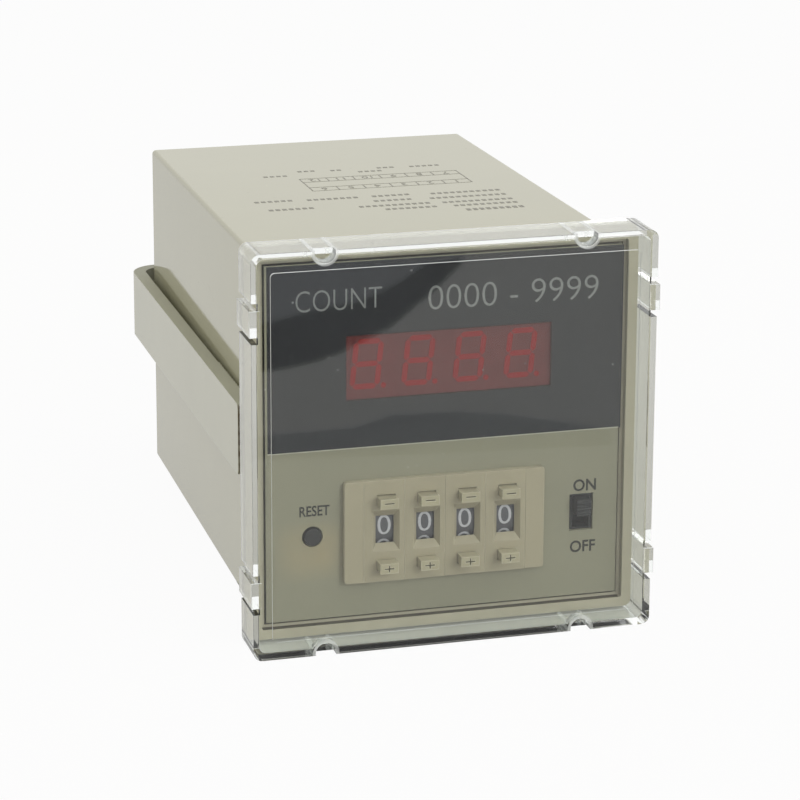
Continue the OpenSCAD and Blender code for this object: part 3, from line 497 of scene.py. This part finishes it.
MATERIALS = {
    "case_plastic": moulded("case_plastic", CASE_RGB, rough=0.06, grain=0.02, shade=0.015,
                            marks=SCRATCHES),
    # the clamp carries painted shade on faces that look up or down and on its front end
    "clamp_plastic": moulded("clamp_plastic", CLAMP_RGB, rough=0.2, grain=0.04, shade=0.03,
                             shaded_tops=True, shaded_end=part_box("mounting_clamp")[0].y),
    # the frame carries painted shade lines in its recess corners
    "frame_plastic": moulded("frame_plastic", FRAME_RGB, rough=0.4, grain=0.06, shade=0.03,
                             shade_lines=SHADE_LINES),
    "face_film": face_film(),
    "dark_film": dark_film(),
    "clear_plastic": clear_plastic(),
    "display_red": tinted("display_red", LED_RGB, 0.5),
    "segment_red": tinted("segment_red", SEGMENT_RGB, 0.45),
    # the switch bank and the buttons carry painted highlights on their rounded edges
    "switch_plastic": moulded("switch_plastic", BANK_RGB, rough=0.4, grain=0.05, shade=0.03,
                              edge_highlight=0.2),
    "button_plastic": moulded("button_plastic", BUTTON_RGB, rough=0.38, grain=0.05, shade=0.03,
                              edge_highlight=0.45),
    "wheel_plastic": moulded("wheel_plastic", WHEEL_RGB, rough=0.5, grain=0.06, shade=0.04),
    "reset_plastic": moulded("reset_plastic", RESET_RGB, rough=0.45, grain=0.08, shade=0.06),
    "black_plastic": moulded("black_plastic", BLACK_RGB, rough=0.42, grain=0.1, shade=0.1),
    "relay_blue": moulded("relay_blue", RELAY_RGB, rough=0.25, grain=0.03),
    "sleeve_blue": moulded("sleeve_blue", SLEEVE_RGB, rough=0.22, grain=0.03),
    "winding_tape": moulded("winding_tape", TAPE_RGB, rough=0.35, grain=0.12),
    "board_green": circuit_board("board_green", GREEN_RGB),
    "board_brown": circuit_board("board_brown", BROWN_RGB),
    "steel": metal("steel", STEEL_RGB, 0.28),
    "brass": metal("brass", BRASS_RGB, 0.3),
    "core_steel": laminations("core_steel", CORE_RGB),
}
FIGURES = ink("figure_white", FIGURE_RGB)
PRINT = ink("print_dark", PRINT_RGB)
PRINT_PALE = ink("print_pale", PRINT_PALE_RGB)
PRINT_TOP = ink("print_grey", PRINT_TOP_RGB)
MARKS = ink("mark_dirt", MARK_RGB)
# the film's edge with a painted highlight
FILM_EDGE_HIGHLIGHT = ink("film_edge", FILM_EDGE_HIGHLIGHT_RGB)

# Rounded edges, by node
EDGES = {
    "case_shell": 0.25, "front_frame": 0.15, "clear_cover": 0.25, "mounting_clamp": 1.0,
    "face_overlay": 0.05, "dark_window": 0.05, "end_plate_left": 0.3, "end_plate_right": 0.3,
    "reset_button": 0.28, "slide_knob": 0.12, "slide_switch": 0.15, "terminal_block": 0.25,
    "terminal_screws": 0.2, "terminal_washers": 0.15, "terminal_contacts": 0.15,
    "block_screws": 0.2,
}
for i in WHEELS:
    EDGES[f"wheel_housing_{i}"] = 0.16
    EDGES[f"minus_button_{i}"] = 0.13
    EDGES[f"plus_button_{i}"] = 0.13
    EDGES[f"digit_wheel_{i}"] = 0.12

# How near points are joined; below which angle faces count as flat and above which an edge is
# rounded, in degrees
WELD_REACH = 0.001
FLAT_ANGLE = 0.4
EDGE_ANGLE = 32


def soften(node, width):
    """Joins a node's faces and rounds its edges, by modifiers only."""
    weld = node.modifiers.new("weld", "WELD")
    weld.merge_threshold = WELD_REACH * MM
    flat = node.modifiers.new("flat", "DECIMATE")
    flat.decimate_type = "DISSOLVE"
    flat.angle_limit = math.radians(FLAT_ANGLE)
    bevel = node.modifiers.new("edges", "BEVEL")
    bevel.width = width
    bevel.segments = 3
    bevel.limit_method = "ANGLE"
    bevel.angle_limit = math.radians(EDGE_ANGLE)
    bevel.use_clamp_overlap = True
    shading = node.modifiers.new("shading", "WEIGHTED_NORMAL")
    shading.keep_sharp = True


for sub in frame["record"]["subparts"]:
    part = nodes[sub["node"]]
    part.data.materials.clear()
    part.data.materials.append(MATERIALS[sub["material_slot"]])
    if sub["node"] in EDGES:
        soften(part, EDGES[sub["node"]] * MM)


def piece(name, mesh, material, body):
    """A new piece with one material, riding a body."""
    made = bpy.data.objects.new(name, mesh)
    scene.collection.objects.link(made)
    made.data.materials.clear()
    made.data.materials.append(material)
    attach(made, body)


def lettering(words, height, width=None, weight=0.0):
    """Flat mesh of figures or words in its own X and Y, centred, of a given height.

    Its width follows, unless it is given. A weight above 0 makes the strokes bolder, and below 0
    thinner.
    """
    curve = bpy.data.curves.new("words", "FONT")
    curve.body = words
    curve.offset = weight
    curve.resolution_u = 4
    holder = bpy.data.objects.new("words", curve)
    scene.collection.objects.link(holder)
    bpy.context.view_layer.update()
    evaluated = holder.evaluated_get(bpy.context.evaluated_depsgraph_get())
    mesh = bpy.data.meshes.new_from_object(evaluated)
    bpy.data.objects.remove(holder)
    bpy.data.curves.remove(curve)
    low = Vector([min(v.co[k] for v in mesh.vertices) for k in range(3)])
    high = Vector([max(v.co[k] for v in mesh.vertices) for k in range(3)])
    tall = height / (high.y - low.y)
    wide = width / (high.x - low.x) if width else tall
    mesh.transform(Matrix.Diagonal((wide, tall, 1, 1)) @ Matrix.Translation(-(low + high) / 2))
    return mesh


def bars(rects):
    """Flat mesh of rectangles, each given by its middle, width and height."""
    corners = [(-1, -1), (1, -1), (1, 1), (-1, 1)]
    bm = bmesh.new()
    for x, y, w, h in rects:
        places = [(x + sx * w / 2, y + sy * h / 2, 0) for sx, sy in corners]
        bm.faces.new([bm.verts.new(place) for place in places])
    mesh = bpy.data.meshes.new("bars")
    bm.to_mesh(mesh)
    bm.free()
    return mesh


def onto(mesh, origin, right=(1, 0, 0), up=(0, 0, 1)):
    """Lays a flat mesh on a plane given by its origin and its right and up directions."""
    right = Vector(right).normalized()
    up = Vector(up).normalized()
    turn = Matrix((right, up, right.cross(up))).transposed().to_4x4()
    mesh.transform(Matrix.Translation(Vector(origin)) @ turn)
    return mesh


# Print lies this far in front of what it is printed on
LIFT = 0.02

# Print on the face, function words and the counting range: piece, words, ink, middle in X and Z,
# height, width, weight of the strokes
FACE_PRINT = [
    ("print_count", "COUNT", PRINT_PALE, -19.65, 26.3, 3.9, 15.8, -0.012),
    ("print_range", "0000 - 9999", PRINT_PALE, 12.8, 25.5, 4.5, 32.0, -0.012),
    ("print_reset", "RESET", PRINT, -24.2, -12.6, 2.0, 5.6, 0.02),
    ("print_on", "ON", PRINT, 26.9, -12.0, 2.3, 4.4, 0.02),
    ("print_off", "OFF", PRINT, 26.7, -23.8, 2.3, 4.9, 0.02),
]


def face_print():
    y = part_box("face_overlay")[0].y - LIFT * MM
    for name, words, material, x, z, height, width, weight in FACE_PRINT:
        mesh = lettering(words, height * MM, width * MM, weight)
        piece(name, onto(mesh, (x * MM, y, z * MM)), material, "housing")


# Borders of the dark window: light margins at its left and top, a dark strip at its right, and below
# it the film's edge with a painted highlight
LEFT_MARGIN = 0.45
TOP_MARGIN = 0.22
RIGHT_REACH = 0.36
BRIGHT_EDGE = 0.2


def window_borders():
    low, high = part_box("dark_window")
    left, top = low.x + LEFT_MARGIN * MM, high.z - TOP_MARGIN * MM
    right, edge = high.x + RIGHT_REACH * MM, low.z + BRIGHT_EDGE * MM
    for name, x0, x1, z0, z1, material in [
        ("window_left", low.x, left, low.z, high.z, MATERIALS["face_film"]),
        ("window_top", left, high.x, top, high.z, MATERIALS["face_film"]),
        ("window_right", high.x, right, low.z, top, MATERIALS["dark_film"]),
        ("window_edge_highlight", left, high.x, low.z, edge, FILM_EDGE_HIGHLIGHT),
    ]:
        mesh = bars([((x0 + x1) / 2, (z0 + z1) / 2, x1 - x0, z1 - z0)])
        piece(name, onto(mesh, (0, low.y - LIFT * MM, 0)), material, "housing")


# Figures 0 to 9 round each wheel; a slight turn leaves the 0 above the middle of its opening, as
# it stands
FIGURE_COUNT = 10
FIGURE_STEP = math.radians(360 / FIGURE_COUNT)
FIGURE_H = 3.7
FIGURE_W = 2.5
ONE_W = 0.5
FIGURE_WEIGHT = -0.004
FIGURE_CUTS = 11
FIGURE_RISE = 0.66
BUTTON_W = 3.4
BUTTON_H = 1.95


def cut_figure(figure):
    """One figure, cut across so that it can bend round the drum."""
    width = ONE_W if figure == 1 else FIGURE_W
    mesh = lettering(str(figure), FIGURE_H * MM, width * MM, FIGURE_WEIGHT)
    part = bmesh.new()
    part.from_mesh(mesh)
    bpy.data.meshes.remove(mesh)
    for k in range(1, FIGURE_CUTS):
        cut_at = Vector((0, (k / FIGURE_CUTS - 0.5) * FIGURE_H * MM, 0))
        bmesh.ops.bisect_plane(part, geom=part.verts[:] + part.edges[:] + part.faces[:],
                               plane_co=cut_at, plane_no=(0, 1, 0))
    return part


def wheel_figures(index):
    """All ten figures of one wheel as one mesh, wrapped round its drum."""
    low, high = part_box(f"digit_wheel_{index}")
    joint = next(j for j in frame["joints"] if j["name"] == f"wheel_{index}_turn")
    axis = joint["pos_m"]
    radius = (high.z - low.z) / 2 + LIFT * MM
    button_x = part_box(f"minus_button_{index}")[0].x + BUTTON_W * MM / 2
    bm = bmesh.new()
    for figure in range(FIGURE_COUNT):
        part = cut_figure(figure)
        for v in part.verts:
            turn = (v.co.y + FIGURE_RISE * MM) / radius + figure * FIGURE_STEP
            y, z = axis[1] - radius * math.cos(turn), axis[2] + radius * math.sin(turn)
            v.co = Vector((button_x + v.co.x, y, z))
        made = bpy.data.meshes.new("figure")
        part.to_mesh(made)
        part.free()
        bm.from_mesh(made)
        bpy.data.meshes.remove(made)
    mesh = bpy.data.meshes.new(f"wheel_figures_{index}")
    bm.to_mesh(mesh)
    bm.free()
    return mesh


# Dirt in the engraved marks of the buttons, on the marks' floor
MARK_LEN = 1.85
MARK_UP = 1.3
MARK_W = 0.28
MARK_DEEP = 0.15


def button_mark(kind, index):
    low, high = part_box(f"{kind}_button_{index}")
    half = BUTTON_H * MM / 2
    middle_z = low.z + half if kind == "minus" else high.z - half
    strokes = [(0, 0, MARK_LEN * MM, MARK_W * MM)]
    if kind == "plus":
        strokes.append((0, 0, MARK_W * MM, MARK_UP * MM))
    origin = (low.x + BUTTON_W * MM / 2, low.y + (MARK_DEEP - LIFT) * MM, middle_z)
    piece(f"{kind}_mark_{index}", onto(bars(strokes), origin), MARKS, f"{kind}_{index}")


# Print on the case's top, read from behind: a numbered terminal diagram and rows of plain blocks
TOP_SLOPE = CASE_DRAFT / CASE_DEPTH
DIAGRAM_X = (-10.6, 21.5)
DIAGRAM_Y = (51.3, 62.5)
DIAGRAM_ROW = 3.1
COLUMNS = 6
NUMBER_H = 1.9
LINE = 0.22
BLOCK_PITCH = 1.3
BLOCK_W = 0.85
# rows of blocks: from X, to X, Y of the row's middle, height of a block
BLOCK_ROWS = [
    (-24.2, -16.3, 44.3, 1.2), (-15.0, -3.5, 43.8, 1.2), (-2.1, 6.7, 43.8, 1.2),
    (10.5, 24.8, 43.2, 1.2), (-1.8, 6.0, 39.7, 1.2), (8.0, 24.8, 39.3, 1.2),
    (-24.2, -13.9, 37.0, 1.3), (-6.4, 8.5, 35.6, 1.2), (10.5, 24.8, 35.2, 1.2),
    (-1.8, 8.9, 32.3, 1.2), (11.0, 24.8, 32.0, 1.2), (12.5, 24.8, 28.1, 1.6),
    (-17.4, -12.0, 66.2, 1.0), (-10.5, -5.6, 69.4, 1.0), (-3.3, -0.3, 68.8, 1.0),
    (1.9, 7.4, 66.3, 1.0), (5.4, 10.6, 68.9, 1.0), (12.7, 19.9, 68.5, 1.0),
]


def on_top(name, mesh, x, y):
    """Lays a mesh on the case's sloping top, turned to be read from behind."""
    height = CASE_HALF - TOP_SLOPE * y + LIFT
    onto(mesh, (x * MM, y * MM, height * MM), (-1, 0, 0), (0, -1, TOP_SLOPE))
    piece(name, mesh, PRINT_TOP, "housing")


def terminal_diagram():
    """Two rows of numbered fields along the front and back of a frame."""
    wide = (DIAGRAM_X[1] - DIAGRAM_X[0]) * MM
    deep = (DIAGRAM_Y[1] - DIAGRAM_Y[0]) * MM
    row = DIAGRAM_ROW * MM
    line = LINE * MM
    sides = (-1, 1)
    rects = [(0, s * deep / 2, wide + line, line) for s in sides]
    rects += [(0, s * (deep / 2 - row), wide, line) for s in sides]
    rects += [(s * wide / 2, 0, line, deep) for s in sides]
    for k in range(1, COLUMNS):
        x = -wide / 2 + k * wide / COLUMNS
        rects += [(x, s * (deep - row) / 2, line, row) for s in sides]
    on_top("print_diagram", bars(rects), sum(DIAGRAM_X) / 2, sum(DIAGRAM_Y) / 2)
    for k in range(2 * COLUMNS):
        x = DIAGRAM_X[1] - (k % COLUMNS + 0.5) * (DIAGRAM_X[1] - DIAGRAM_X[0]) / COLUMNS
        y = DIAGRAM_Y[0] + DIAGRAM_ROW / 2 if k < COLUMNS else DIAGRAM_Y[1] - DIAGRAM_ROW / 2
        on_top(f"print_number_{k + 1}", lettering(str(k + 1), NUMBER_H * MM), x, y)


def block_rows():
    """Rows of plain blocks, each as long as the row allows."""
    rects = []
    for x0, x1, y, tall in BLOCK_ROWS:
        for k in range(int((x1 - x0) / BLOCK_PITCH)):
            x = x1 - (k + 0.5) * BLOCK_PITCH
            rects.append((-x * MM, -y * MM, BLOCK_W * MM, tall * MM))
    on_top("print_rows", bars(rects), 0, 0)


face_print()
window_borders()
for i in WHEELS:
    piece(f"wheel_figures_{i}", wheel_figures(i), FIGURES, f"wheel_{i}")
for i in WHEELS:
    for kind in ("minus", "plus"):
        button_mark(kind, i)
terminal_diagram()
block_rows()

# Studio: pale floor shown white, even sky, three large soft lamps, and four cards just above the
# floor that only gloss and glass show, three low in front and one under the case, a dark sheet of
# painted shade where the case shades the floor
FLOOR_HALF = 3000
FLOOR_GAP = 0.3
FLOOR_RGB = (214, 212, 205)
STAGE_ROUGH = 0.9
WHITE = (1, 1, 1, 1)
SKY_STRENGTH = 0.5
# how white the floor is shown to the camera, in gloss and through glass
SHOWN_WHITE = 0.95
GLOSS_WHITE = 0.8
TRANSMIT_WHITE = 0.1
# lamps: name, place, aim and side in metres, power in watts
LAMPS = [
    ("lamp_above", (0.3, -0.3, 1.1), (0, 0.03, 0), 0.7, 2.7),
    ("lamp_left", (-0.7, -0.2, 1.0), (0, 0.03, 0), 0.7, 1.6),
    ("lamp_front", (0.7, -1.1, 0.55), (0, 0, 0), 0.6, 4.9),
]
# cards: name, colour, height above the floor and outline in X and Y
CARDS = [
    # painted shade: a dark sheet under the case, where the floor lies in its shade
    ("card_under_shade", (58, 58, 60), 0.1, [(-37.0, 0.0), (37.0, 0.0), (37.0, 30.0), (-37.0, 30.0)]),
    ("card_dark", (34, 35, 40), 0.7, [
        (15.3, -229.3), (30.5, -239.0), (37.4, -242.2), (44.6, -244.4), (53.7, -253.4),
        (61.9, -263.3), (72.2, -277.9), (82.9, -280.7), (81.0, -274.5), (67.9, -252.8),
        (59.2, -239.5), (45.4, -218.4), (33.7, -205.5), (28.1, -199.7), (21.3, -194.3),
        (17.0, -191.9), (5.4, -187.1)]),
    ("card_far", (182, 184, 190), 0.5, [
        (10.8, -222.8), (44.6, -240.0), (72.2, -274.0), (82.9, -278.0), (91.9, -303.0),
        (30.3, -307.4)]),
    ("card_near", (188, 190, 192), 0.5, [
        (-8.8, -137.8), (-2.5, -140.6), (15.8, -141.1), (27.0, -148.3), (40.8, -147.0),
        (51.0, -142.0), (64.0, -131.4), (70.2, -124.4), (66.8, -114.8), (41.9, -116.9),
        (-12.0, -124.0)]),
]


def stage(name, outline, lift, shader):
    """A flat stage piece on or above the floor, which isn't part of the object."""
    z = cad_box[0][2] + (lift - FLOOR_GAP) * MM
    mesh = bpy.data.meshes.new(name)
    mesh.from_pydata([(x * MM, y * MM, z) for x, y in outline], [], [range(len(outline))])
    made = bpy.data.objects.new(name, mesh)
    scene.collection.objects.link(made)
    made.data.materials.append(shader.material)
    return made


def floor():
    """Pale floor that the camera and gloss see as white."""
    s = Shader("floor")
    s.surface(Base_Color=s.shaded(s.noise(3), FLOOR_RGB, 0.98, 1.02), Roughness=STAGE_ROUGH)
    white = s.node("ShaderNodeEmission", {"Color": WHITE, "Strength": 1.0})
    ray = s.node("ShaderNodeLightPath").outputs
    through = ray["Is Transmission Ray"]
    mirrored = s.times(ray["Is Glossy Ray"], s.math("SUBTRACT", 1.0, through))
    shown = s.times(ray["Is Camera Ray"], SHOWN_WHITE)
    shown = s.math("MAXIMUM", shown, s.times(mirrored, GLOSS_WHITE))
    shown = s.math("MAXIMUM", shown, s.times(through, TRANSMIT_WHITE))
    both = s.node("ShaderNodeMixShader", {0: shown, 1: s.bsdf.outputs[0], 2: white.outputs[0]})
    s.feed(s.output.inputs["Surface"], both.outputs[0])
    h = FLOOR_HALF
    stage("floor", [(-h, -h), (h, -h), (h, h), (-h, h)], 0, s)


def cards():
    for name, rgb, lift, outline in CARDS:
        s = Shader(name)
        s.surface(Base_Color=s.shaded(s.noise(8), rgb, 0.95, 1.05), Roughness=STAGE_ROUGH)
        card = stage(name, outline, lift, s)
        card.visible_camera = False
        card.visible_diffuse = False
        card.visible_shadow = False


def sky():
    """Even light from all round, and full white where the camera, gloss or glass sees it."""
    world = bpy.data.worlds.new("sky")
    world.use_nodes = True
    scene.world = world
    tree = world.node_tree
    even = tree.nodes["Background"]
    even.inputs["Color"].default_value = WHITE
    even.inputs["Strength"].default_value = SKY_STRENGTH
    bright = tree.nodes.new("ShaderNodeBackground")
    bright.inputs["Color"].default_value = WHITE
    path = tree.nodes.new("ShaderNodeLightPath")
    shown = path.outputs["Is Camera Ray"]
    for kind in ("Is Glossy Ray", "Is Transmission Ray"):
        either = tree.nodes.new("ShaderNodeMath")
        either.operation = "MAXIMUM"
        tree.links.new(shown, either.inputs[0])
        tree.links.new(path.outputs[kind], either.inputs[1])
        shown = either.outputs[0]
    both = tree.nodes.new("ShaderNodeMixShader")
    tree.links.new(shown, both.inputs[0])
    tree.links.new(even.outputs[0], both.inputs[1])
    tree.links.new(bright.outputs[0], both.inputs[2])
    tree.links.new(both.outputs[0], tree.nodes["World Output"].inputs["Surface"])


def area_lamp(name, place, aim, side, watts):
    data = bpy.data.lights.new(name, "AREA")
    data.shape = "RECTANGLE"
    data.size = data.size_y = side
    data.energy = watts
    lamp = bpy.data.objects.new(name, data)
    scene.collection.objects.link(lamp)
    lamp.location = place
    lamp.rotation_euler = (Vector(aim) - Vector(place)).to_track_quat("-Z", "Y").to_euler()
    lamp.visible_glossy = False


def fitted_camera():
    data = bpy.data.cameras.new("camera")
    data.sensor_fit = "HORIZONTAL"
    data.sensor_width = SENSOR
    data.lens = FOCAL_PX / FRAME_PX * SENSOR
    data.shift_x = (FRAME_PX / 2 - CENTRE_PX[0]) / FRAME_PX
    data.shift_y = (CENTRE_PX[1] - FRAME_PX / 2) / FRAME_PX
    data.clip_start = 0.01
    camera = bpy.data.objects.new("camera", data)
    scene.collection.objects.link(camera)
    right = Vector(VIEW_RIGHT).normalized()
    back = right.cross(Vector(VIEW_UP)).normalized()
    up = back.cross(right)
    turn = Matrix((right, up, back)).transposed().to_4x4()
    camera.matrix_world = Matrix.Translation(Vector(EYE) * MM) @ turn
    scene.camera = camera


floor()
cards()
sky()
for lamp in LAMPS:
    area_lamp(*lamp)
fitted_camera()

scene.view_settings.view_transform = "Standard"
